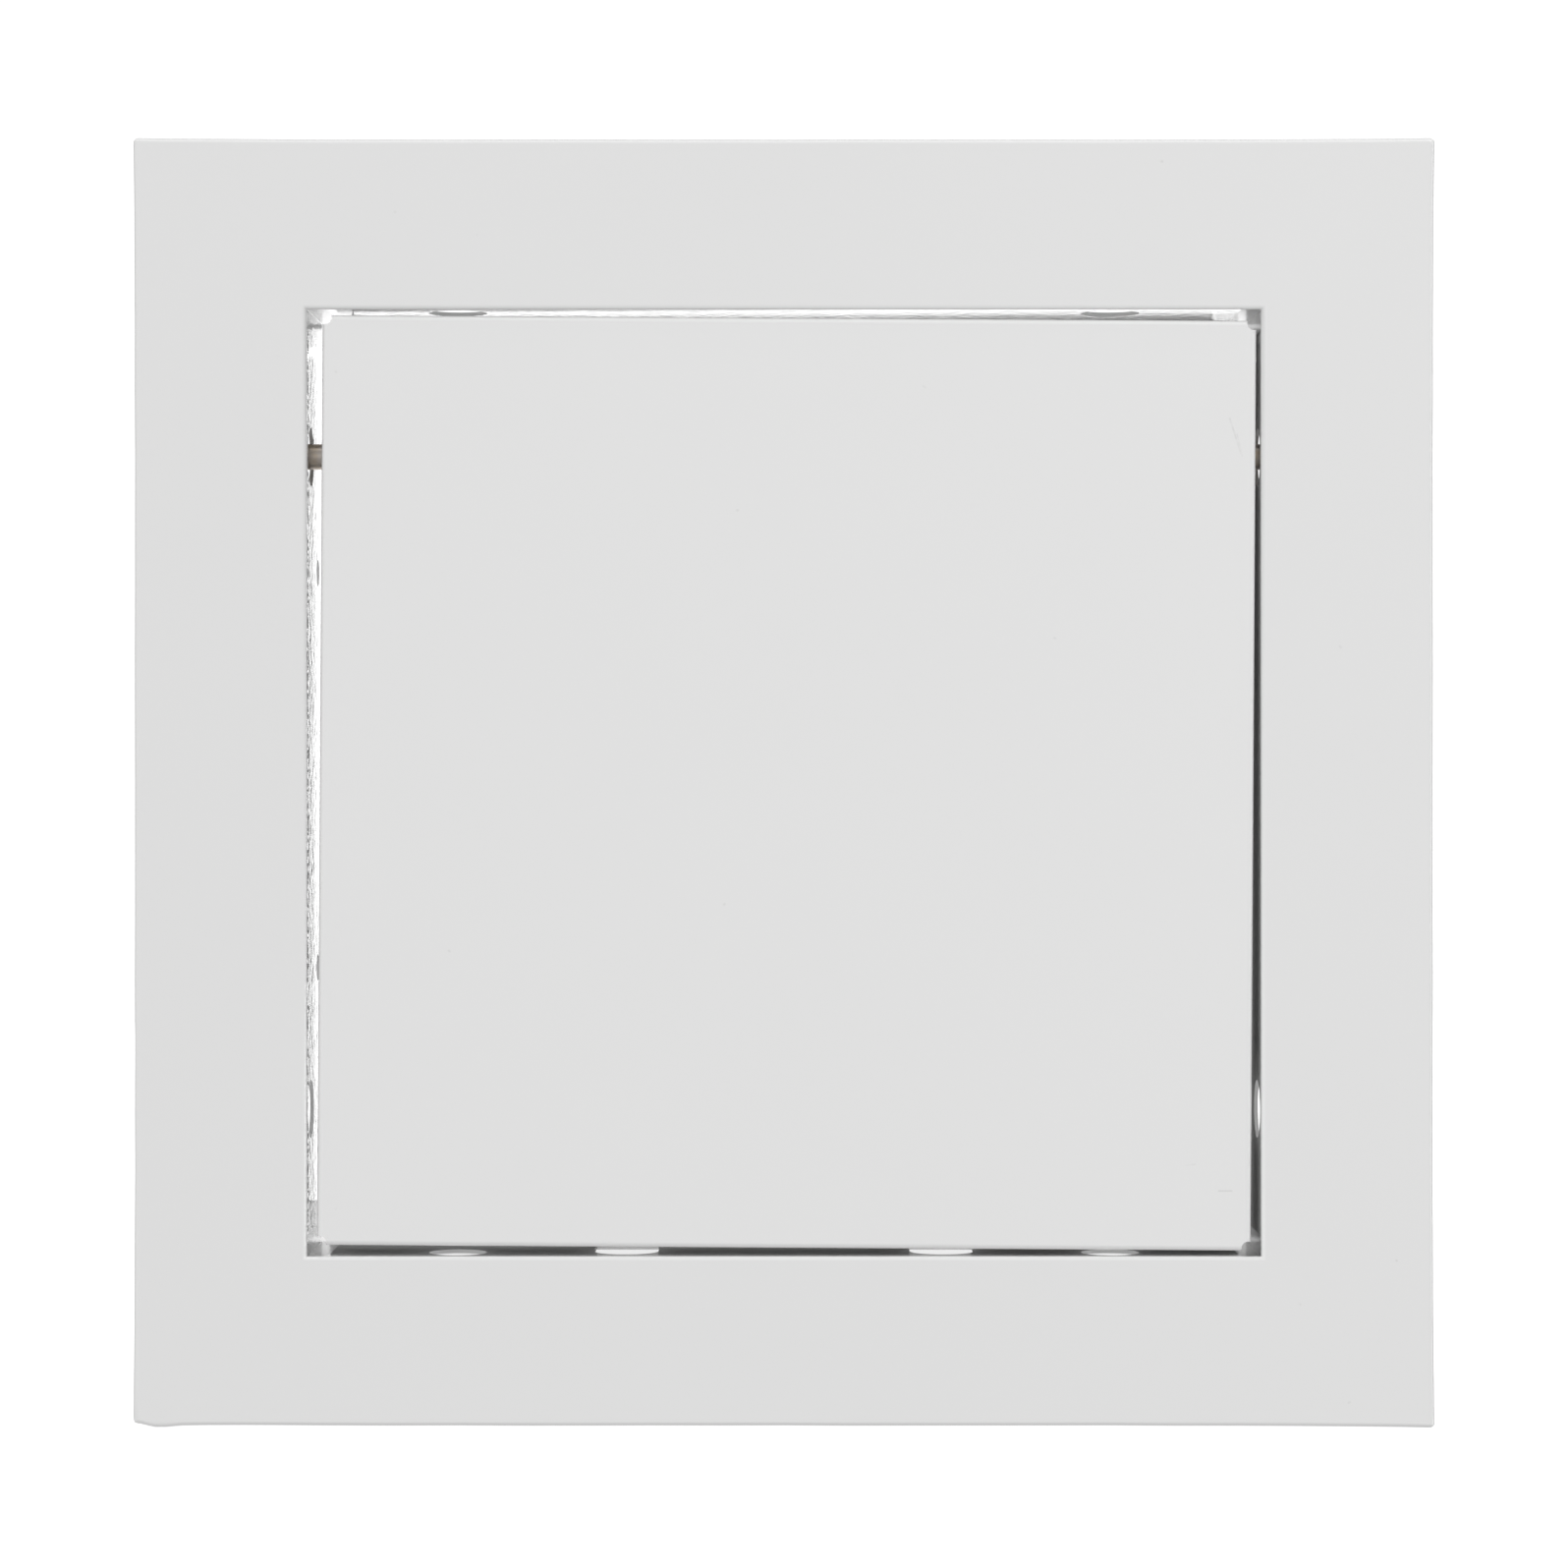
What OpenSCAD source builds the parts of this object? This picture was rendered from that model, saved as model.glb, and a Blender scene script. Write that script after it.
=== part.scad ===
// Small access panel for a ceiling or wall: a painted steel frame with a collar,
// and a pan-shaped steel door that turns on two pins near its top edge.
// X is right, Z is up towards the pins, Y goes into the ceiling.
// The plane y = 0 is the ceiling surface, the origin is the middle of the opening.

/* [Frame] */
// Outside width of the flange, mm
frame_w = 200; // [192:1:240]
// Outside height of the flange, mm
frame_h = 198.2; // [192:0.1:240]
// Flange width left and right of the opening, mm
flange_side = 26.7; // [24:0.1:30]
// Flange width above and below the opening, mm
flange_end = 26.35; // [24:0.05:30]
// Height of the flange face above the ceiling, mm
flange_d = 4; // [3:0.5:6]
// Depth of the collar behind the flange face, mm
collar_d = 30; // [29:0.5:45]
// Thickness of the sheet, mm
sheet = 0.6; // [0.5:0.1:0.6]
// Outside radius of the frame's bends, mm
bend_r = 0.7; // [0.7:0.1:1.2]
// How far each collar wall stops short of the corner, mm
corner_gap = 3.2; // [2:0.1:5]
// Diameter of the eight round holes in the collar, mm
hole_d = 9; // [8:0.5:10]
// Distance of the round holes from the middle of a wall, mm
hole_off = 50.5; // [46:0.5:54]
// Diameter of the fixing screw holes, mm
screw_d = 4.2; // [3.5:0.1:5]
// Distance of the screw holes from the middle of a wall, mm
screw_off = 31; // [24:0.5:36]
// Depth of the screw holes behind the flange face, mm
screw_depth = 17; // [13:0.5:20]
// How far the side screw holes sit above the middle, mm
screw_rise = 2; // [0:0.5:4]

/* [Door] */
// Width of the door leaf, mm
door_w = 143.6; // [140:0.1:143.9]
// Height of the door leaf, mm
door_h = 143; // [140:0.1:143.2]
// Depth of the door's folded edges, mm
door_d = 12; // [11:0.5:13]
// Set-back of the door face from the flange face, mm
door_back = 0.5; // [0.2:0.1:0.8]
// Outside radius of the door's bends, mm
door_r = 0.8; // [0.8:0.1:1.4]
// Sideways offset of the hung door, mm
door_shift = 0.4; // [0:0.1:0.5]
// Slight turn of the hung door in its opening, degrees
door_skew = 0.35; // [0:0.05:0.4]
// Radius of the relief notch at each door corner, mm
notch_r = 1; // [0.6:0.1:1.2]
// Height of the return lip along the bottom of the door, mm
lip_h = 11.5; // [10:0.5:14]

/* [Hinge] */
// Depth of the pin axis behind the flange face, mm
pivot_depth = 6.5; // [6.3:0.1:6.7]
// Diameter of the hinge pins, mm
pin_d = 4; // [3.6:0.1:4.4]
// Diameter of the pin heads, mm
head_d = 7.2; // [6:0.1:8]
// Diameter of the bush flanges, mm
bush_flange_d = 8.8; // [8:0.1:9.5]
// Clear height under the hinge straps, mm
strap_gap = 2; // [1.6:0.1:2.4]
// Thickness of the hinge straps, mm
strap_t = 1; // [0.8:0.1:1.2]
// Width of the hinge straps, mm
strap_w = 8; // [7:0.5:9]

/* [Magnet catch] */
// Distance of each magnet from the middle of the door, mm
magnet_off = 24.5; // [20:0.5:28]
// Outside diameter of a magnet cup, mm
cup_d = 9.4; // [9:0.1:9.8]
// Height of a magnet cup, mm
cup_h = 3; // [2.8:0.1:3.5]
// Air gap between the shut door and a magnet, mm
catch_gap = 0.2; // [0.1:0.05:0.4]
// Width of a magnet tab, mm
tab_w = 9.6; // [9:0.1:10]
// Height of a magnet tab, mm
tab_h = 12; // [11.5:0.1:12.5]

/* [Hidden] */
$fn = 48;
open_w = frame_w - 2 * flange_side;
open_h = frame_h - 2 * flange_end;
yf = -flange_d;
yb = yf + collar_d;
pin_y = yf + pivot_depth;
pin_z = hole_off;
door_y = yf + door_back;
lip_y = door_y + door_d;
tab_y = lip_y + catch_gap + cup_h;
floor_z = -open_h / 2;
mag_z = floor_z + tab_h - tab_w / 2;
slot_l = tab_h + 1;
bracket_leg = 12;
clip_r = pin_d / 2 - 0.45;
wall_x = open_w / 2;
clip_t = 0.6;
bush_t = 1;
strap_r = strap_t + 0.2;
strap_half = 7;
strap_end = 11;
strap_x = wall_x + sheet + strap_gap + strap_t;
weld_d = 4.5;
weld_t = 0.12;
side_l = -door_w / 2 + door_shift + pin_z * sin(door_skew);
side_r = door_w / 2 + door_shift + pin_z * sin(door_skew);
clip_x = strap_x + bush_t + 0.25;
pin_tail = strap_x + bush_t + 0.25 + clip_t + 1.3;

paint = [0.86, 0.86, 0.86];
zinc = [0.66, 0.65, 0.62];
nylon = [0.93, 0.93, 0.91];
nickel = [0.75, 0.75, 0.74];
ferrite = [0.16, 0.16, 0.17];

// ---- helpers ------------------------------------------------------------

// a quarter of a bend: runs from the point (0, r) to the point (r, 0)
module bend2d(r, t) {
    intersection() {
        translate([r, r]) difference() { circle(r = r); circle(r = r - t); }
        square([r, r]);
    }
}

// Runs a 2D section (outward distance, depth) along one edge of a rectangle
// w by h and cuts both ends at 45 degrees. Edge 0 is the top, then clockwise.
module edge_run(k, w, h, y, reach) {
    half = (k % 2 == 0) ? h / 2 : w / 2;
    len = (k % 2 == 0) ? w : h;
    rotate([0, 90 * k, 0])
        intersection() {
            translate([len / 2 + reach, y, half]) rotate([0, -90, 0])
                linear_extrude(height = len + 2 * reach) children();
            translate([0, y + 20, 0]) rotate([90, 0, 0])
                linear_extrude(height = 40)
                    polygon([[-len / 2 + reach, half - reach], [len / 2 - reach, half - reach],
                             [len / 2 + reach, half + reach], [-len / 2 - reach, half + reach]]);
        }
}

module box(x0, x1, y0, y1, z0, z1) {
    translate([x0, y0, z0]) cube([x1 - x0, y1 - y0, z1 - z0]);
}

// cylinder along X
module xcyl(x0, x1, r, y, z) {
    translate([x0, y, z]) rotate([0, 90, 0]) cylinder(h = x1 - x0, r = r);
}

// cylinder along Y
module ycyl(y0, y1, r, x, z) {
    translate([x, y0, z]) rotate([-90, 0, 0]) cylinder(h = y1 - y0, r = r);
}

// ---- frame --------------------------------------------------------------

module flange_sheet() {
    difference() {
        box(-frame_w / 2 + bend_r, frame_w / 2 - bend_r, yf, yf + sheet,
            -frame_h / 2 + bend_r, frame_h / 2 - bend_r);
        box(-open_w / 2 - bend_r, open_w / 2 + bend_r, yf - 1, yf + sheet + 1,
            -open_h / 2 - bend_r, open_h / 2 + bend_r);
    }
    for (k = [0, 1, 2, 3]) {
        // bend into the collar
        edge_run(k, open_w, open_h, yf, 4) bend2d(bend_r, sheet);
        // rolled outer edge and its return
        edge_run(k, frame_w, frame_h, yf, 4) mirror([1, 0]) {
            bend2d(bend_r, sheet);
            translate([0, bend_r]) square([sheet, flange_d - bend_r]);
        }
    }
}

// One collar wall, drawn as the top one: half is the wall's height above the
// middle, run its length. It carries two round holes.
module wall(half, run) {
    difference() {
        box(-run / 2 + corner_gap, run / 2 - corner_gap, yf + bend_r, yb, half, half + sheet);
        for (s = [-1, 1])
            translate([s * hole_off, pin_y, half - 1]) cylinder(h = sheet + 2, r = hole_d / 2);
    }
}

module screw_holes(half, shift = 0) {
    for (s = [-1, 1])
        translate([s * screw_off + shift, yf + screw_depth, half - 1]) cylinder(h = sheet + 2, r = screw_d / 2);
}

// cut-out that a magnet tab leaves in the bottom wall
module tab_slot(x) {
    translate([x, 0, floor_z - sheet - 1]) {
        translate([-tab_w / 2 - 0.2, tab_y + bend_r - slot_l + tab_w / 2 + 0.2, 0])
            cube([tab_w + 0.4, slot_l - tab_w / 2 - 0.2, sheet + 2]);
        translate([0, tab_y + bend_r - slot_l + tab_w / 2 + 0.2, 0])
            cylinder(h = sheet + 2, r = tab_w / 2 + 0.2);
    }
}

module tab(x) {
    // bend up from the wall
    translate([x - tab_w / 2, tab_y, floor_z - sheet]) rotate([90, 0, 90])
        linear_extrude(height = tab_w) bend2d(bend_r, sheet);
    difference() {
        union() {
            box(x - tab_w / 2, x + tab_w / 2, tab_y, tab_y + sheet, floor_z - sheet + bend_r, mag_z);
            ycyl(tab_y, tab_y + sheet, tab_w / 2, x, mag_z);
        }
        ycyl(tab_y - 1, tab_y + sheet + 1, 1.6, x, mag_z);
    }
}

module frame() {
    color(paint) {
        flange_sheet();
        // top wall
        difference() { wall(open_h / 2, open_w); screw_holes(open_h / 2); }
        // side walls
        for (k = [1, 3])
            rotate([0, 90 * k, 0]) difference() {
                wall(open_w / 2, open_h);
                screw_holes(open_w / 2, (k == 1 ? -1 : 1) * screw_rise);
            }
        // bottom wall with the cut-outs of the magnet tabs
        difference() {
            rotate([0, 180, 0]) wall(open_h / 2, open_w);
            for (s = [-1, 1]) tab_slot(s * magnet_off);
        }
        for (s = [-1, 1]) tab(s * magnet_off);
    }
}

// angle that ties two collar walls together, drawn for the top right corner
module bracket(sx, sz) {
    x0 = open_w / 2 + sheet;
    z0 = open_h / 2 + sheet;
    y0 = yf + sheet + 0.4;
    color(paint)
        mirror([sx < 0 ? 1 : 0, 0, 0]) mirror([0, 0, sz < 0 ? 1 : 0])
            difference() {
                translate([0, yb - 0.6, 0]) rotate([90, 0, 0])
                    linear_extrude(height = yb - 0.6 - y0) {
                        translate([x0 + sheet - bracket_leg, z0]) square([bracket_leg - bend_r, sheet]);
                        translate([x0, z0 + sheet - bracket_leg]) square([sheet, bracket_leg - bend_r]);
                        translate([x0 + sheet, z0 + sheet]) rotate(180) bend2d(bend_r, sheet);
                    }
                // spot-weld dimples, two on each leg
                for (y = [4, 19]) {
                    translate([x0 - 6.8, y, z0 + sheet - weld_t]) cylinder(h = 1, r = weld_d / 2);
                    xcyl(x0 + sheet - weld_t, x0 + sheet + 1, weld_d / 2, y, z0 - 6.8);
                }
            }
}

module corner_bracket_top_left() { bracket(-1, 1); }
module corner_bracket_top_right() { bracket(1, 1); }
module corner_bracket_bottom_left() { bracket(-1, -1); }
module corner_bracket_bottom_right() { bracket(1, -1); }

// ---- door ---------------------------------------------------------------

module door_blank() {
    hw = door_w / 2;
    hh = door_h / 2;
    difference() {
        union() {
            box(-hw + door_r, hw - door_r, door_y, door_y + sheet, -hh + door_r, hh - door_r);
            for (k = [0, 1, 2, 3])
                edge_run(k, door_w, door_h, door_y, 4) mirror([1, 0]) bend2d(door_r, sheet);
            // top fold
            box(-hw + door_r, hw - door_r, door_y + door_r, lip_y, hh - sheet, hh);
            // side folds
            for (s = [-1, 1])
                box(s * hw - (s > 0 ? sheet : 0), s * hw + (s > 0 ? 0 : sheet),
                    door_y + door_r, lip_y, -hh + door_r, hh - door_r);
            // bottom fold and its return lip
            box(-hw + door_r, hw - door_r, door_y + door_r, lip_y - door_r, -hh, -hh + sheet);
            translate([-hw + 2.4, lip_y, -hh]) rotate([90, 0, 90])
                linear_extrude(height = door_w - 4.8) mirror([1, 0]) bend2d(door_r, sheet);
            box(-hw + 2.4, hw - 2.4, lip_y - sheet, lip_y, -hh + door_r, -hh + lip_h);
        }
        for (sx = [-1, 1]) for (sz = [-1, 1])
            ycyl(door_y - 1, lip_y + 1, notch_r, sx * (hw - 0.45), sz * (hh - 0.45));
    }
}

module door_panel() {
    color(paint) difference() {
        translate([door_shift, 0, 0]) rotate([0, door_skew, 0]) door_blank();
        xcyl(-door_w / 2 - 3, door_w / 2 + 3, pin_d / 2 + 0.03, pin_y, pin_z);
    }
}

// ---- hinge --------------------------------------------------------------

module pin_body(inner) {
    hr = head_d / 2;
    pr = pin_d / 2;
    translate([0, pin_y, pin_z]) rotate([0, 90, 0]) rotate_extrude()
        polygon([[0, inner - 1.7], [hr - 0.6, inner - 1.7], [hr, inner - 1.2], [hr, inner],
                 [pr, inner], [pr, clip_x - 0.05], [clip_r, clip_x - 0.05],
                 [clip_r, clip_x + clip_t + 0.05], [pr, clip_x + clip_t + 0.05],
                 [pr, pin_tail - 0.4], [pr - 0.4, pin_tail], [0, pin_tail]]);
}

module hinge_pin_left() { color(zinc) mirror([1, 0, 0]) pin_body(-side_l - sheet - 0.1); }
module hinge_pin_right() { color(zinc) pin_body(side_r - sheet - 0.1); }

// section of a hinge strap: along the wall, and away from it
module strap2d() {
    g = strap_gap;
    t = strap_t;
    r = strap_r;
    a = strap_half;
    translate([-a + r, g]) square([2 * (a - r), t]);
    for (m = [0, 1]) mirror([m, 0]) {
        translate([a, g + t]) rotate(180) bend2d(r, t);
        translate([a - t, r]) square([t, g + t - 2 * r]);
        translate([a - t, 0]) bend2d(r, t);
        translate([a - t + r, 0]) square([strap_end - a + t - r, t]);
    }
}

// strap that stands over the round hole outside the collar and carries the bush
module strap() {
    x0 = wall_x + sheet;
    color(zinc) difference() {
        translate([x0, pin_y - strap_w / 2, pin_z]) rotate([0, -90, -90])
            linear_extrude(height = strap_w) strap2d();
        xcyl(x0 - 1, strap_x + 1, 3, pin_y, pin_z);
        // spot-weld dimples on the feet
        for (s = [-1, 1])
            xcyl(x0 + strap_t - weld_t, x0 + strap_t + 1, 1.3, pin_y, pin_z + s * (strap_end - 1.9));
    }
}

module hinge_strap_left() { mirror([1, 0, 0]) strap(); }
module hinge_strap_right() { strap(); }

module bush() {
    color(nylon) difference() {
        union() {
            xcyl(strap_x, strap_x + bush_t, bush_flange_d / 2, pin_y, pin_z);
            xcyl(strap_x - strap_t - 0.3, strap_x + 0.1, 2.98, pin_y, pin_z);
        }
        xcyl(wall_x - 2, strap_x + 5, pin_d / 2 + 0.05, pin_y, pin_z);
    }
}

module hinge_bush_left() { mirror([1, 0, 0]) bush(); }
module hinge_bush_right() { bush(); }

module clip() {
    color(zinc) difference() {
        xcyl(clip_x, clip_x + clip_t, 4.2, pin_y, pin_z);
        xcyl(clip_x - 1, clip_x + clip_t + 1, clip_r + 0.05, pin_y, pin_z);
        // open mouth and the two side scallops
        box(clip_x - 1, clip_x + clip_t + 1, pin_y - 1.35, pin_y + 1.35, pin_z - 6, pin_z);
        for (s = [-1, 1])
            xcyl(clip_x - 1, clip_x + clip_t + 1, 0.9, pin_y + s * 2.1, pin_z - 0.9);
    }
}

module pin_clip_left() { mirror([1, 0, 0]) clip(); }
module pin_clip_right() { clip(); }

// ---- magnet catch -------------------------------------------------------

module cup(x) {
    color(nickel) difference() {
        ycyl(tab_y - cup_h, tab_y, cup_d / 2, x, mag_z);
        ycyl(tab_y - cup_h - 1, tab_y - cup_h + 2.2, cup_d / 2 - 0.8, x, mag_z);
        ycyl(tab_y - cup_h, tab_y + 1, 1.6, x, mag_z);
    }
}

module core(x) {
    color(ferrite) difference() {
        ycyl(tab_y - cup_h + 0.1, tab_y - cup_h + 2.2, cup_d / 2 - 0.85, x, mag_z);
        ycyl(tab_y - cup_h - 1, tab_y, 1.6, x, mag_z);
        // countersink
        translate([x, tab_y - cup_h + 0.1, mag_z]) rotate([-90, 0, 0])
            cylinder(h = 1.5, r1 = 3.05, r2 = 1.55);
    }
}

module screw(x) {
    color(zinc) difference() {
        union() {
            translate([x, tab_y - cup_h + 0.3, mag_z]) rotate([-90, 0, 0])
                cylinder(h = 1.4, r1 = 2.8, r2 = 1.4);
            ycyl(tab_y - cup_h + 1, tab_y + sheet + 3.1, 1.45, x, mag_z);
        }
        // cross recess
        box(x - 1.4, x + 1.4, tab_y - cup_h, tab_y - cup_h + 1.1, mag_z - 0.3, mag_z + 0.3);
        box(x - 0.3, x + 0.3, tab_y - cup_h, tab_y - cup_h + 1.1, mag_z - 1.4, mag_z + 1.4);
    }
}

module nut(x) {
    color(zinc) difference() {
        translate([x, tab_y + sheet, mag_z]) rotate([-90, 0, 0]) cylinder(h = 2.4, r = 3.175, $fn = 6);
        ycyl(tab_y, tab_y + 6, 1.5, x, mag_z);
    }
}

module magnet_cup_left() { cup(-magnet_off); }
module magnet_cup_right() { cup(magnet_off); }
module magnet_core_left() { core(-magnet_off); }
module magnet_core_right() { core(magnet_off); }
module magnet_screw_left() { screw(-magnet_off); }
module magnet_screw_right() { screw(magnet_off); }
module magnet_nut_left() { nut(-magnet_off); }
module magnet_nut_right() { nut(magnet_off); }

// ---- assembly -----------------------------------------------------------

frame();
door_panel();
hinge_pin_left();
hinge_pin_right();
hinge_strap_left();
hinge_strap_right();
hinge_bush_left();
hinge_bush_right();
pin_clip_left();
pin_clip_right();
corner_bracket_top_left();
corner_bracket_top_right();
corner_bracket_bottom_left();
corner_bracket_bottom_right();
magnet_cup_left();
magnet_cup_right();
magnet_core_left();
magnet_core_right();
magnet_screw_left();
magnet_screw_right();
magnet_nut_left();
magnet_nut_right();
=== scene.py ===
import math
import bpy
import bmesh
from mathutils import Matrix, Vector


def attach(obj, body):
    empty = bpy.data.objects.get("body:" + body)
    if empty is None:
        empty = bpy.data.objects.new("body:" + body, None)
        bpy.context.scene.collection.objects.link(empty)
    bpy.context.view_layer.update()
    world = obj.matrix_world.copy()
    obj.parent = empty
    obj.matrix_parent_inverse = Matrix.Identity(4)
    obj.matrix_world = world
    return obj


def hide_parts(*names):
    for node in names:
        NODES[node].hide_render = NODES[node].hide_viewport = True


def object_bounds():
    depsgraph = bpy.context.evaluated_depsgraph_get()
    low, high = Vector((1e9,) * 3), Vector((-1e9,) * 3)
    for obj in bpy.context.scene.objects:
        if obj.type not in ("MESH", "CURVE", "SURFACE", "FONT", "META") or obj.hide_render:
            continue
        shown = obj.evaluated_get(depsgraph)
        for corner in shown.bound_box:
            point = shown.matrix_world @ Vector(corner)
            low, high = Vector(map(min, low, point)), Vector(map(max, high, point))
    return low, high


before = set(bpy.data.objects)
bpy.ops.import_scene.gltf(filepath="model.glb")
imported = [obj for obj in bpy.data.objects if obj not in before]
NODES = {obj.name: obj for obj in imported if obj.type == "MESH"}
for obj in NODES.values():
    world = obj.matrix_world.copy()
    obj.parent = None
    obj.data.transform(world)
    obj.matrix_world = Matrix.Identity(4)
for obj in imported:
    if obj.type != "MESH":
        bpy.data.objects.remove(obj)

cad_lo, cad_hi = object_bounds()
scene = bpy.context.scene

# ---------------------------------------------------------------- node helpers


class Net:
    """A small builder for shader node trees."""

    def __init__(self, name):
        self.mat = bpy.data.materials.new(name)
        self.mat.use_nodes = True
        self.tree = self.mat.node_tree
        self.tree.nodes.clear()
        self.out = self.add("ShaderNodeOutputMaterial")
        self.bsdf = self.add("ShaderNodeBsdfPrincipled")
        self.link(self.bsdf.outputs[0], self.out.inputs["Surface"])
        self.coord = self.add("ShaderNodeTexCoord").outputs["Object"]

    def add(self, kind, **props):
        n = self.tree.nodes.new(kind)
        for k, v in props.items():
            setattr(n, k, v)
        return n

    def link(self, a, b):
        self.tree.links.new(a, b)

    def put(self, socket, value):
        if hasattr(value, "is_linked"):
            self.link(value, socket)
        else:
            socket.default_value = value

    def math(self, op, a, b=None, c=None, clamp=False):
        n = self.add("ShaderNodeMath", operation=op, use_clamp=clamp)
        self.put(n.inputs[0], a)
        if b is not None:
            self.put(n.inputs[1], b)
        if c is not None:
            self.put(n.inputs[2], c)
        return n.outputs[0]

    def noise(self, scale, detail=2.0, rough=0.5, vec=None, lac=2.0, distort=0.0):
        n = self.add("ShaderNodeTexNoise")
        self.put(n.inputs["Vector"], vec if vec is not None else self.coord)
        n.inputs["Scale"].default_value = scale
        n.inputs["Detail"].default_value = detail
        n.inputs["Roughness"].default_value = rough
        n.inputs["Lacunarity"].default_value = lac
        n.inputs["Distortion"].default_value = distort
        return n.outputs["Fac"]

    def voronoi(self, scale, feature="F1", rand=1.0, vec=None):
        n = self.add("ShaderNodeTexVoronoi", feature=feature)
        self.put(n.inputs["Vector"], vec if vec is not None else self.coord)
        n.inputs["Scale"].default_value = scale
        n.inputs["Randomness"].default_value = rand
        return n

    def mapping(self, scale=(1, 1, 1), rot=(0, 0, 0), loc=(0, 0, 0)):
        n = self.add("ShaderNodeMapping")
        self.link(self.coord, n.inputs["Vector"])
        n.inputs["Location"].default_value = loc
        n.inputs["Rotation"].default_value = rot
        n.inputs["Scale"].default_value = scale
        return n.outputs[0]

    def ramp(self, fac, a, b, lo=0.0, hi=1.0):
        """Remaps fac from lo..hi to a..b, with a smooth step."""
        n = self.add("ShaderNodeMapRange", interpolation_type="SMOOTHSTEP")
        self.put(n.inputs["Value"], fac)
        n.inputs["From Min"].default_value = lo
        n.inputs["From Max"].default_value = hi
        n.inputs["To Min"].default_value = a
        n.inputs["To Max"].default_value = b
        return n.outputs[0]

    def mix(self, fac, a, b):
        n = self.add("ShaderNodeMix", data_type="RGBA")
        self.put(n.inputs[0], fac)
        self.put(n.inputs[6], a)
        self.put(n.inputs[7], b)
        return n.outputs[2]

    def bump(self, height, dist, strength=1.0, normal=None):
        n = self.add("ShaderNodeBump")
        self.put(n.inputs["Height"], height)
        n.inputs["Distance"].default_value = dist
        n.inputs["Strength"].default_value = strength
        if normal is not None:
            self.link(normal, n.inputs["Normal"])
        return n.outputs[0]

    def xyz(self):
        n = self.add("ShaderNodeSeparateXYZ")
        self.link(self.coord, n.inputs[0])
        return n.outputs


def col(v, tint=(1.0, 1.0, 1.0)):
    return (v * tint[0], v * tint[1], v * tint[2], 1.0)


# ------------------------------------------------------------------- materials


def segment_mask(net, x, z, mark):
    """A thin mark on the face: 1 on the stroke from a to b (mm, x and z), 0 beside it."""
    ax, az, bx, bz, width = [v * 0.001 for v in mark[:5]]
    dx, dz = bx - ax, bz - az
    ll = max(dx * dx + dz * dz, 1e-12)
    px = net.math("SUBTRACT", x, ax)
    pz = net.math("SUBTRACT", z, az)
    t = net.math("MULTIPLY", px, dx / ll)
    t = net.math("MULTIPLY_ADD", pz, dz / ll, t)
    t = net.math("MAXIMUM", net.math("MINIMUM", t, 1.0), 0.0)
    ex = net.math("MULTIPLY_ADD", t, -dx, px)
    ez = net.math("MULTIPLY_ADD", t, -dz, pz)
    d2 = net.math("MULTIPLY_ADD", ex, ex, net.math("MULTIPLY", ez, ez))
    d = net.math("SQRT", d2)
    return net.ramp(d, mark[5], 0.0, width * 0.25, width)


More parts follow.
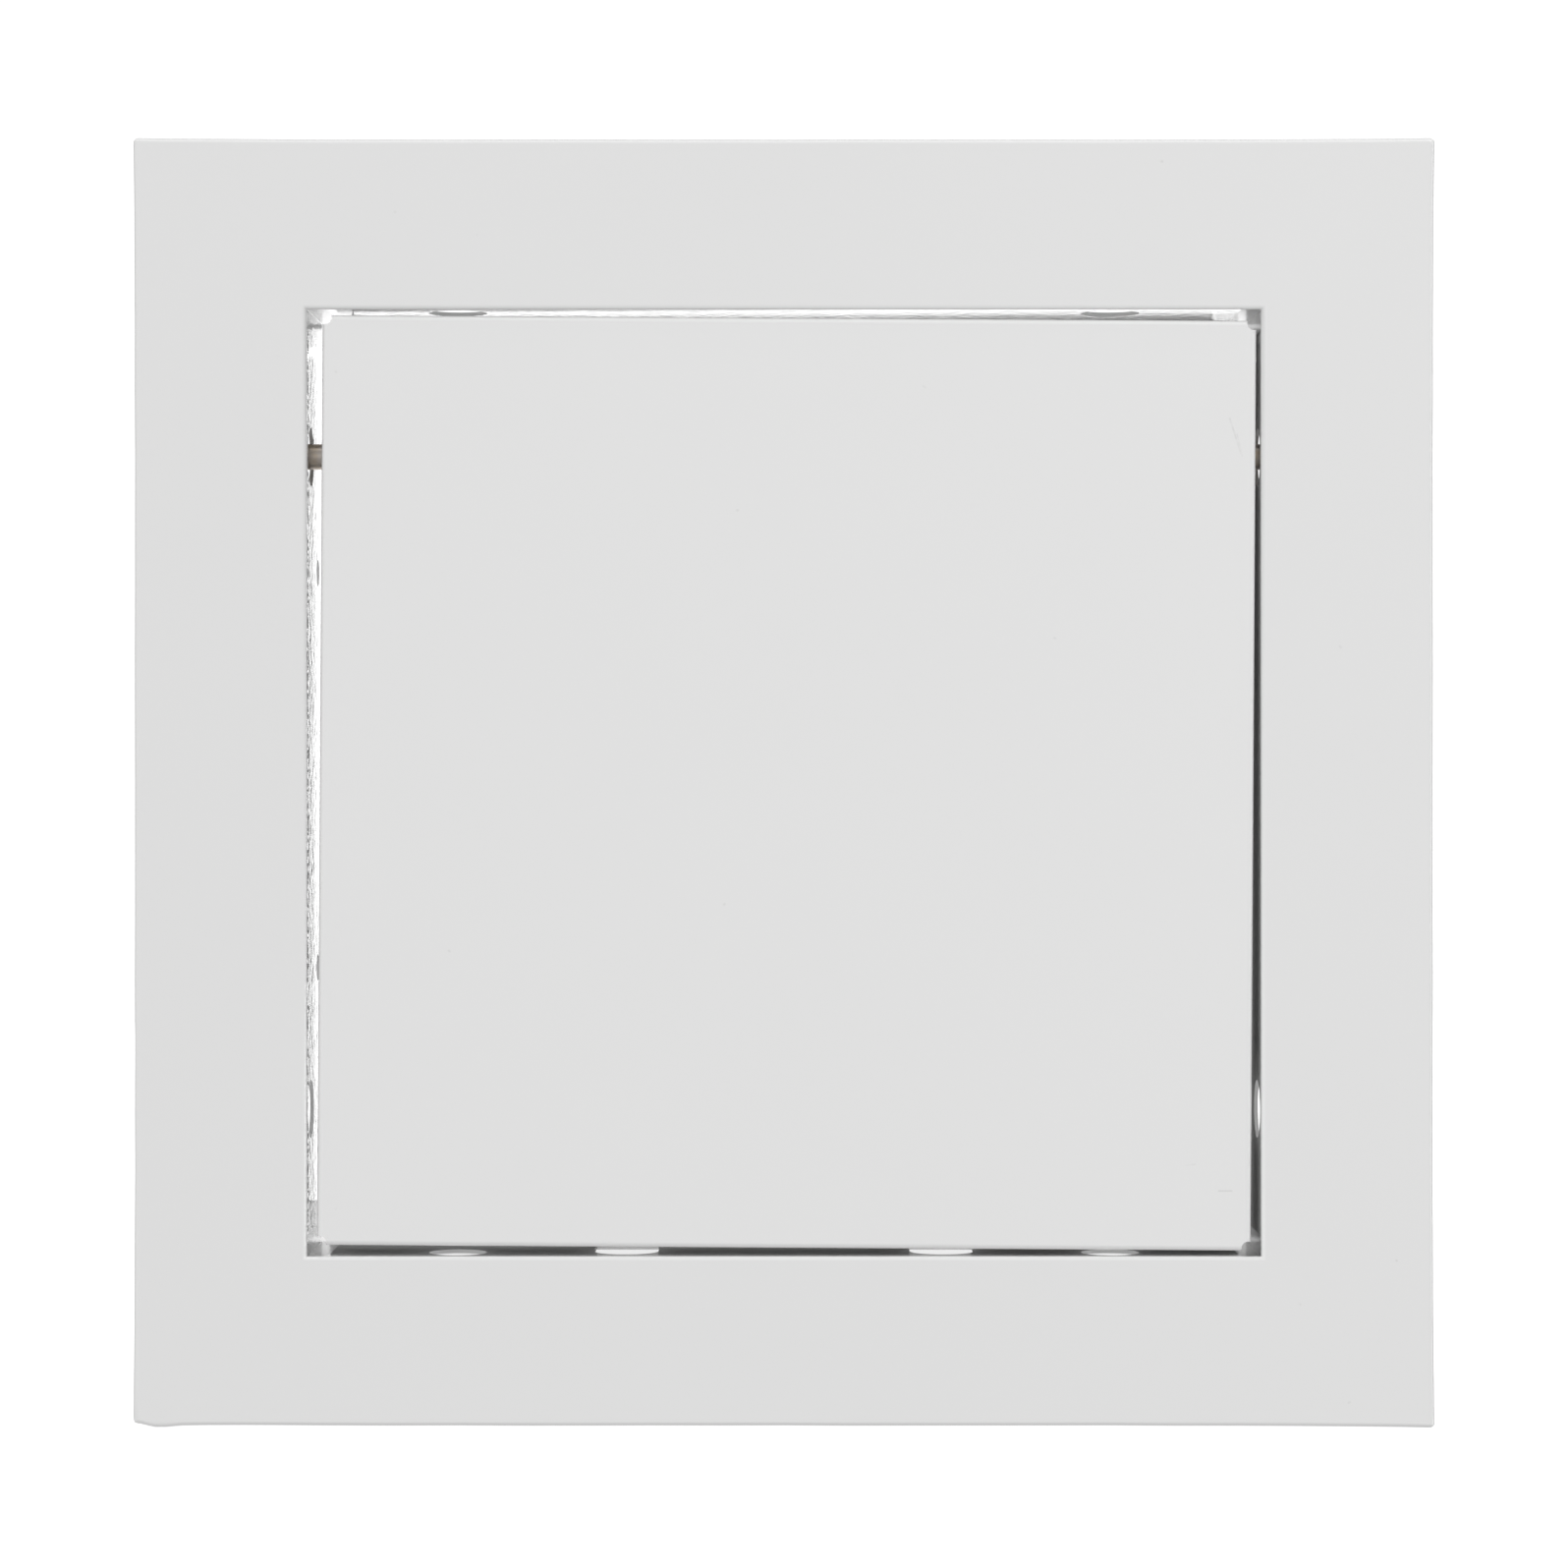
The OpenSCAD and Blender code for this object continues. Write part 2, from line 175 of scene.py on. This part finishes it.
def powder(name, value, marks=(), peel=1.0, gloss=0.07, bend_shade_line=0.0):
    """White powder coat: orange peel, fine grain, faint patches, dust, a few handling marks and, when asked, a
    painted shade line along the left bend of the opening.
    """
    net = Net(name)
    patches = net.noise(14.0, 3.0, 0.55)
    cloud = net.noise(70.0, 2.0, 0.5)
    tone = net.math("MULTIPLY_ADD", net.math("SUBTRACT", patches, 0.5), 0.030,
                    net.math("MULTIPLY", net.math("SUBTRACT", cloud, 0.5), 0.012))
    base = net.mix(net.math("ADD", tone, 0.5, clamp=True),
                   col(value * 0.80, (1.0, 1.0, 0.995)), col(min(value * 1.20, 1.0), (1.0, 1.0, 1.0)))
    # dust and pinholes in the coat
    cells = net.voronoi(85.0)
    dot = net.ramp(cells.outputs["Distance"], 1.0, 0.0, 0.010, 0.030)
    pick = net.add("ShaderNodeSeparateColor")
    net.link(cells.outputs["Color"], pick.inputs[0])
    rare = net.ramp(pick.outputs[0], 0.0, 1.0, 0.90, 0.94)
    dust = net.math("MULTIPLY", dot, rare)
    base = net.mix(net.math("MULTIPLY", dust, 0.16), base, col(0.30, (1.0, 0.97, 0.92)))
    x, y, z = net.xyz()
    scuff = None
    for m in marks:
        k = segment_mask(net, x, z, m)
        scuff = k if scuff is None else net.math("MAXIMUM", scuff, k)
    if scuff is not None:
        # marks are only on the front face
        front = net.ramp(y, 1.0, 0.0, -0.0030, -0.0026)
        broken = net.ramp(net.noise(900.0, 2.0), 0.35, 1.0, 0.35, 0.6)
        scuff = net.math("MULTIPLY", net.math("MULTIPLY", scuff, broken), front)
        base = net.mix(scuff, base, col(0.33, (1.0, 0.99, 0.97)))
    if bend_shade_line:
        # painted shade: a broken dark line painted along the bend at the left side of the opening, with the
        # roughness raised on it
        wander = net.math("MULTIPLY", net.math("SUBTRACT", net.noise(150.0, 2.0), 0.5), 0.0022)
        off = net.math("ABSOLUTE", net.math("ADD", net.math("ADD", y, 0.0021), wander))
        line = net.ramp(off, bend_shade_line, 0.0, 0.0004, 0.0013)
        line = net.math("MULTIPLY", line, net.math("MULTIPLY", net.ramp(x, 0.0, 1.0, -0.0737, -0.0735), net.ramp(x, 1.0, 0.0, -0.0725, -0.0720)))
        line = net.math("MULTIPLY", line, net.ramp(net.math("ABSOLUTE", z), 1.0, 0.0, 0.0690, 0.0702))
        shade_line_breakup = net.noise(1500.0, 2.0, 0.6, net.mapping(scale=(1, 0.12, 1)))
        line = net.math("MULTIPLY", line, net.ramp(shade_line_breakup, 0.0, 1.0, 0.44, 0.58))
        base = net.mix(line, base, col(0.16, (1.0, 0.98, 0.95)))
    net.link(base, net.bsdf.inputs["Base Color"])
    rough = net.math("MULTIPLY_ADD", net.noise(180.0, 3.0), 0.06, gloss)
    if bend_shade_line:
        rough = net.math("MAXIMUM", rough, net.math("MULTIPLY", line, 0.95))
    net.link(rough, net.bsdf.inputs["Roughness"])
    net.bsdf.inputs["Specular IOR Level"].default_value = 0.5
    sag = net.bump(net.noise(9.0, 1.0), 0.00035)
    # the coat lies rougher on the left wall of the opening than elsewhere
    depth = net.ramp(y, 0.35, 1.0, -0.0034, -0.0018)
    out = net.math("MAXIMUM", net.math("ABSOLUTE", x), net.math("ADD", net.math("ABSOLUTE", z), 0.0006))
    depth = net.math("MULTIPLY", depth, net.ramp(out, 1.0, 0.4, 0.0735, 0.0738))
    depth = net.math("MULTIPLY", depth, net.ramp(x, 1.0, 0.3, -0.0727, -0.0722))
    pebble = net.math("MULTIPLY", net.math("SUBTRACT", net.noise(620.0, 1.5, 0.45), 0.5), depth)
    orange = net.bump(pebble, 0.00012 * peel, 1.0, sag)
    grain = net.bump(net.noise(3800.0, 1.0), 0.0000035 * peel, 1.0, orange)
    net.link(grain, net.bsdf.inputs["Normal"])
    return net.mat


def plated(name, base, rough, warm=0.0, streak=(1, 1, 1), metallic=1.0):
    """Plated steel: fine turning lines, cloudy passivation and a little grime."""
    net = Net(name)
    lines = net.noise(900.0, 3.0, 0.6, net.mapping(scale=streak))
    cloud = net.noise(420.0, 3.0, 0.6)
    dark = [c * 0.72 for c in base]
    tinted = [base[0] * (1 - 0.05 * warm), base[1] * (1 - 0.13 * warm), base[2] * (1 - 0.28 * warm)]
    c = net.mix(net.ramp(cloud, 0.0, 1.0, 0.35, 0.65), (*base, 1), (*tinted, 1))
    c = net.mix(net.ramp(lines, 0.0, 0.5, 0.4, 0.7), c, (*dark, 1))
    net.link(c, net.bsdf.inputs["Base Color"])
    net.bsdf.inputs["Metallic"].default_value = metallic
    net.link(net.math("MULTIPLY_ADD", lines, 0.22, rough - 0.08), net.bsdf.inputs["Roughness"])
    net.link(net.bump(lines, 0.000012), net.bsdf.inputs["Normal"])
    return net.mat


def nylon_mat():
    net = Net("nylon_white")
    cloud = net.noise(500.0, 3.0)
    c = net.mix(net.ramp(cloud, 0.0, 1.0, 0.3, 0.7), col(0.84, (1, 1, 0.985)), col(0.90, (1, 0.998, 0.985)))
    net.link(c, net.bsdf.inputs["Base Color"])
    net.link(net.math("MULTIPLY_ADD", net.noise(1500.0, 2.0), 0.14, 0.42), net.bsdf.inputs["Roughness"])
    net.bsdf.inputs["Subsurface Weight"].default_value = 0.9
    net.bsdf.inputs["Subsurface Scale"].default_value = 0.004
    net.bsdf.inputs["Subsurface Radius"].default_value = (1.0, 0.97, 0.93)
    net.link(net.bump(net.noise(2500.0, 2.0), 0.000008), net.bsdf.inputs["Normal"])
    return net.mat


def ferrite_mat():
    net = Net("ferrite_black")
    cloud = net.noise(1800.0, 4.0, 0.65)
    c = net.mix(net.ramp(cloud, 0.0, 1.0, 0.3, 0.7), (0.022, 0.022, 0.024, 1), (0.060, 0.060, 0.064, 1))
    net.link(c, net.bsdf.inputs["Base Color"])
    net.link(net.math("MULTIPLY_ADD", cloud, 0.25, 0.42), net.bsdf.inputs["Roughness"])
    net.link(net.bump(cloud, 0.00002), net.bsdf.inputs["Normal"])
    return net.mat


DOOR_MARKS = [
    # x0, z0, x1, z1, half width (mm), strength
    (68.5, 56.0, 70.2, 50.6, 0.22, 0.16),
    (69.6, 53.6, 70.4, 50.2, 0.16, 0.12),
    (66.8, -62.7, 68.8, -62.7, 0.18, 0.22),
    (61.7, -58.8, 63.2, -58.6, 0.16, 0.10),
    (-7.3, 41.9, -7.1, 41.9, 0.30, 0.14),
    (-51.5, -25.8, -51.3, -25.9, 0.28, 0.14),
    (-68.9, -65.5, -68.8, -65.4, 0.26, 0.12),
    (-68.9, 63.2, -68.8, 63.1, 0.26, 0.12),
    (-9.2, -18.7, -9.1, -18.6, 0.26, 0.14),
    (41.5, 22.3, 41.7, 22.2, 0.24, 0.12),
    (21.4, 60.9, 21.8, 60.7, 0.26, 0.12),
]
FRAME_MARKS = [
    (85.4, 20.9, 85.5, 20.8, 0.30, 0.16),
    (79.1, -80.0, 79.3, -80.1, 0.26, 0.12),
    (86.7, -95.2, 86.9, -95.1, 0.26, 0.12),
]

# painted shade: the frame's coat gets a dark broken line painted along the left bend of the opening
m_frame = powder("powder_coat_frame", 0.790, FRAME_MARKS, bend_shade_line=0.75)
m_door = powder("powder_coat_door", 0.806, DOOR_MARKS)
# painted light: the corner brackets get a lighter copy of the white coat (0.900, the frame has 0.790) so they
# read brighter in the shaded corners of the opening
m_bracket_lightened = powder("powder_coat_bracket_lightened", 0.900, (), 2.8, 0.20)
m_zinc = plated("zinc_passivated", (0.50, 0.455, 0.42), 0.34, 1.0, (0.15, 1, 1))
m_steel = plated("zinc_bright", (0.66, 0.655, 0.645), 0.30, 0.5, (1, 1, 0.2))
m_nickel = plated("nickel_bright", (0.70, 0.69, 0.66), 0.22, 0.3, (1, 0.2, 1))
m_nylon = nylon_mat()
m_ferrite = ferrite_mat()


def paint(ob, mat):
    ob.data.materials.clear()
    ob.data.materials.append(mat)


# -------------------------------------------------------------- sheet metal pieces


def smooth(v, lo, hi):
    t = min(max((v - lo) / (hi - lo), 0.0), 1.0)
    return t * t * (3.0 - 2.0 * t)


def flange_faces(bm):
    return [f for f in bm.faces
            if abs(f.calc_center_median().x) > 0.0746 or abs(f.calc_center_median().z) > 0.0741]


def work_flange(bm):
    """The rolled rim of the flange as the press leaves it: sides drawn in a little between the
    corners, corners eased, the lower left one curled back."""
    hx, hz = -cad_lo.x, -cad_lo.z
    near = (0.55, 1.1, 1.7, 2.4, 3.4, 5.0, 7.5, 11.0, 16.0, 22.0)
    for axis, half in ((0, hx), (2, hz)):
        cuts = [half - d * 0.001 for d in near]
        cuts += [k * 0.010 for k in range(1, 8)]
        no = [0, 0, 0]
        no[axis] = 1
        for c in [0.0] + cuts + [-v for v in cuts]:
            co = [0, 0, 0]
            co[axis] = c
            fs = [f for f in flange_faces(bm)
                  if min(v.co[axis] for v in f.verts) < c - 1e-6 and max(v.co[axis] for v in f.verts) > c + 1e-6]
            if fs:
                es = {e for f in fs for e in f.edges}
                vs = {v for f in fs for v in f.verts}
                bmesh.ops.bisect_plane(bm, geom=list(vs) + list(es) + fs, dist=1e-7, plane_co=co, plane_no=no)
    bow = {"left": 0.22, "right": 0.26, "top": 0.20, "bottom": 0.30}
    for v in bm.verts:
        x, y, z = v.co.x * 1000.0, v.co.y * 1000.0, v.co.z * 1000.0
        if abs(x) < 74.7 and abs(z) < 74.2:
            continue
        mx, mz = hx * 1000.0, hz * 1000.0
        ux, uz = min(abs(x) / mx, 1.0), min(abs(z) / mz, 1.0)
        ex, ez = smooth(abs(x), 78.0, mx), smooth(abs(z), 77.5, mz)
        bx = (bow["right"] if x > 0 else bow["left"]) * (1.0 - uz ** 7)
        bz = (bow["top"] if z > 0 else bow["bottom"]) * (1.0 - ux ** 7)
        bx += 0.035 * (1.0 - uz ** 7) * (1.0 + math.sin(z * 0.21 + 1.3) * math.sin(z * 0.083 + 0.4))
        bz += 0.035 * (1.0 - ux ** 7) * (1.0 + math.sin(x * 0.19 + 2.1) * math.sin(x * 0.071 + 1.0))
        x -= math.copysign(bx * ex, x)
        z -= math.copysign(bz * ez, z)
        # eased corners
        curled = x < 0 and z < 0
        if curled:
            du = mx - abs(x)
            z += (0.65 * (1.0 - smooth(du, 0.3, 3.8)) + 0.22 * smooth(du, 4.2, 8.0) * (1.0 - smooth(du, 12.0, 34.0))) * ez
        r = 1.7 if curled else 0.9
        du, dv = mx - abs(x), mz - abs(z)
        if du < r and dv < r:
            d = math.hypot(r - du, r - dv)
            if d > r:
                k = r / d
                x = math.copysign(mx - r + (r - du) * k, x)
                z = math.copysign(mz - r + (r - dv) * k, z)
        if curled:
            far = math.hypot(mx - abs(x), mz - abs(z))
            y += 0.35 * (1.0 - smooth(far, 0.5, 5.0)) * min(max(-y / 4.0, 0.0), 1.0)
        v.co = (x * 0.001, y * 0.001, z * 0.001)


def sheet_piece(name, node, body, mat, work=None):
    """A finer copy of a CAD sheet: welded, flat faces merged, bends shaded smooth."""
    src = NODES[node]
    me = src.data.copy()
    me.name = name
    bm = bmesh.new()
    bm.from_mesh(me)
    bmesh.ops.remove_doubles(bm, verts=bm.verts, dist=2e-6)
    bmesh.ops.dissolve_limit(bm, angle_limit=math.radians(0.6), verts=bm.verts, edges=bm.edges)
    if work:
        work(bm)
    bmesh.ops.recalc_face_normals(bm, faces=bm.faces)
    bm.to_mesh(me)
    bm.free()
    ob = bpy.data.objects.new(name, me)
    scene.collection.objects.link(ob)
    me.polygons.foreach_set("use_smooth", [True] * len(me.polygons))
    me.set_sharp_from_angle(angle=math.radians(38))
    wn = ob.modifiers.new("flat_faces_stay_flat", "WEIGHTED_NORMAL")
    wn.mode = "FACE_AREA"
    wn.weight = 80
    wn.keep_sharp = True
    paint(ob, mat)
    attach(ob, body)
    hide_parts(node)
    return ob


frame_sheet = sheet_piece("frame_sheet", "frame", "frame", m_frame, work_flange)
door_leaf = sheet_piece("door_leaf", "door_panel", "door", m_door)

for n, ob in NODES.items():
    if n.startswith("corner_bracket"):
        paint(ob, m_bracket_lightened)
    elif n.startswith("hinge_bush"):
        paint(ob, m_nylon)
    elif n.startswith("magnet_cup"):
        paint(ob, m_nickel)
    elif n.startswith("magnet_core"):
        paint(ob, m_ferrite)
    elif n.startswith("hinge_pin"):
        paint(ob, m_zinc)
    elif n.startswith(("hinge_strap", "pin_clip", "magnet_screw", "magnet_nut")):
        paint(ob, m_steel)

# ------------------------------------------------------------------------- stage

floor_z = cad_lo.z
bm = bmesh.new()
bmesh.ops.create_grid(bm, x_segments=1, y_segments=1, size=6.0)
bmesh.ops.translate(bm, verts=bm.verts, vec=(0, 0, floor_z))
fme = bpy.data.meshes.new("floor")
bm.to_mesh(fme)
bm.free()
floor = bpy.data.objects.new("floor", fme)
scene.collection.objects.link(floor)
fn = Net("floor_pale")
fb = fn.bsdf
fb.inputs["Base Color"].default_value = (0.55, 0.55, 0.55, 1)
fb.inputs["Roughness"].default_value = 0.9
fb.inputs["Specular IOR Level"].default_value = 0.1
fb.inputs["Emission Color"].default_value = (1, 1, 1, 1)
fx, fy, _ = fn.xyz()
# painted shadow: the floor's glow is lowered in a soft patch behind the panel, darkest near its foot, standing
# in for the shadow the panel casts there
painted_shadow = fn.math("MULTIPLY", fn.ramp(fy, 0.0, 1.0, -0.001, 0.011), fn.ramp(fy, 1.0, 0.0, 0.10, 0.90))
beside = fn.math("MULTIPLY_ADD", fy, -0.13, fn.math("ABSOLUTE", fx))
painted_shadow = fn.math("MULTIPLY", painted_shadow, fn.ramp(beside, 1.0, 0.0, 0.070, 0.099))
fn.link(fn.math("MULTIPLY_ADD", painted_shadow, -0.40, 0.75), fb.inputs["Emission Strength"])
fme.materials.append(fn.mat)
floor.visible_glossy = False
floor.visible_diffuse = False
floor.visible_shadow = False

# white surround far away, seen directly but casting no light
bm = bmesh.new()
bmesh.ops.create_icosphere(bm, subdivisions=4, radius=9.0)
bmesh.ops.reverse_faces(bm, faces=bm.faces)
cme = bpy.data.meshes.new("surround")
bm.to_mesh(cme)
bm.free()
dome = bpy.data.objects.new("surround", cme)
scene.collection.objects.link(dome)
cm = bpy.data.materials.new("surround_white")
cm.use_nodes = True
cm.node_tree.nodes.clear()
co = cm.node_tree.nodes.new("ShaderNodeOutputMaterial")
ce = cm.node_tree.nodes.new("ShaderNodeEmission")
ce.inputs["Strength"].default_value = 1.1
cm.node_tree.links.new(ce.outputs[0], co.inputs["Surface"])
cme.materials.append(cm)
dome.visible_diffuse = False
dome.visible_glossy = False
dome.visible_transmission = False
dome.visible_shadow = False

# soft studio light by direction: even from the front, brighter from above, dim from below and
# from the far right; behind the panel, brighter low on the right than high on the left
world = bpy.data.worlds.new("studio")
scene.world = world
world.use_nodes = True
wt = world.node_tree
wt.nodes.clear()
wo = wt.nodes.new("ShaderNodeOutputWorld")
wb = wt.nodes.new("ShaderNodeBackground")
wc = wt.nodes.new("ShaderNodeTexCoord")
ws = wt.nodes.new("ShaderNodeSeparateXYZ")
wt.links.new(wc.outputs["Generated"], ws.inputs[0])
wt.links.new(wb.outputs[0], wo.inputs["Surface"])


def wput(sock, v):
    if hasattr(v, "is_linked"):
        wt.links.new(v, sock)
    else:
        sock.default_value = v


def wstep(v, lo, hi, a=0.0, b=1.0):
    n = wt.nodes.new("ShaderNodeMapRange")
    n.interpolation_type = "SMOOTHSTEP"
    wput(n.inputs["Value"], v)
    n.inputs["From Min"].default_value = lo
    n.inputs["From Max"].default_value = hi
    wput(n.inputs["To Min"], a)
    wput(n.inputs["To Max"], b)
    return n.outputs[0]


def wmath(op, a, b, c=0.0):
    n = wt.nodes.new("ShaderNodeMath")
    n.operation = op
    wput(n.inputs[0], a)
    wput(n.inputs[1], b)
    wput(n.inputs[2], c)
    return n.outputs[0]


wx, wy, wz = ws.outputs
slant = wmath("SUBTRACT", wx, wz)
rear = wstep(slant, -0.35, 0.35, 0.20, 1.35)
front = wstep(wy, -0.25, 0.35, 1.076, rear)
ahead = wstep(wy, 0.10, -0.10)
up = wmath("MULTIPLY", wstep(wz, 0.78, 0.90), ahead)
left = wstep(wx, -0.50, -0.90)
around = wmath("MULTIPLY_ADD", up, 1.35, wmath("MULTIPLY_ADD", left, 0.25, front))
around = wmath("MULTIPLY", around, wstep(wx, 0.50, 0.95, 1.0, 0.35))
around = wmath("MULTIPLY", around, wstep(wz, -0.20, -0.70, 1.0, 0.66))
wt.links.new(wstep(wy, 0.955, 0.985, around, 0.04), wb.inputs["Strength"])


def area(name, loc, target, size, power, size_y=None):
    li = bpy.data.lights.new(name, "AREA")
    li.shape = "RECTANGLE"
    li.size = size
    li.size_y = size_y or size
    li.energy = power
    ob = bpy.data.objects.new(name, li)
    ob.location = loc
    ob.rotation_euler = (Vector(target) - Vector(loc)).to_track_quat("-Z", "Y").to_euler()
    ob.visible_camera = False
    scene.collection.objects.link(ob)
    return ob


area("key", (0.55, -0.80, 0.65), (0, 0, 0), 0.4, 2.4)
area("fill_back", (0.0, 1.2, 0.05), (0, 0, 0), 0.3, 2.6).visible_glossy = False
# tall card on the right, seen only in the gloss of the rounded edges
area("card_right", (0.9, -0.30, 0.0), (0, -0.30, 0), 0.64, 7.0, 1.1).visible_diffuse = False

# small strip reflectors close behind the collar, seen only in the gloss of its walls and corners
strips = [("reflector_top", -0.0695, 0.0697, 0.0684, 0.0700, 2.7, -0.0050, 0.032),
          ("reflector_left", -0.0777, -0.0697, -0.0674, 0.0733, 1.75, 0.0, 0.032),
          ("reflector_end_right", 0.0757, 0.0810, 0.0575, 0.0632, 2.8, 0.0, 0.100),
          ("reflector_end_low", -0.0690, -0.0560, -0.0810, -0.0738, 1.1, 0.0, 0.100)]
for corner, sx, sz, glow in (("top_right", 1, 1, 1.1), ("low_left", -1, -1, 1.0), ("low_right", 1, -1, 0.6)):
    for leg, x0, x1, z0, z1 in (("a", 0.0733, 0.0850, 0.0650, 0.0733), ("b", 0.0650, 0.0733, 0.0733, 0.0850)):
        strips.append(("reflector_" + corner + "_" + leg, *sorted((sx * x0, sx * x1)), *sorted((sz * z0, sz * z1)), glow, 0.0, 0.032))
for name, x0, x1, z0, z1, glow, tilt, back in strips:
    w, h = x1 - x0, z1 - z0
    strip = area(name, (0, 0, 0), (0, -1, 0), w, glow * math.pi * w * h, h)
    c, t = math.cos(tilt), math.sin(tilt)
    strip.matrix_world = Matrix(((c, t, 0.0, (x0 + x1) / 2), (0.0, 0.0, 1.0, back),
                                 (t, -c, 0.0, (z0 + z1) / 2), (0.0, 0.0, 0.0, 1.0)))
    strip.visible_diffuse = False

# ------------------------------------------------------------------------ camera

PX = 0.200 / 1325.8
DIST = 0.70
face_y = cad_lo.y
cam = bpy.data.cameras.new("camera")
cam.sensor_fit = "HORIZONTAL"
cam.sensor_width = 36.0
cam.lens = 36.0 * DIST / (1596 * PX)
cam.clip_start = 0.01
cam.clip_end = 50.0
cob = bpy.data.objects.new("camera", cam)
cob.location = (0.0, face_y - DIST, -0.00017)
cob.rotation_euler = (math.radians(90), 0, 0)
scene.collection.objects.link(cob)
scene.camera = cob

scene.view_settings.view_transform = "Standard"
scene.view_settings.look = "None"
scene.view_settings.exposure = 0.0
scene.view_settings.gamma = 1.0
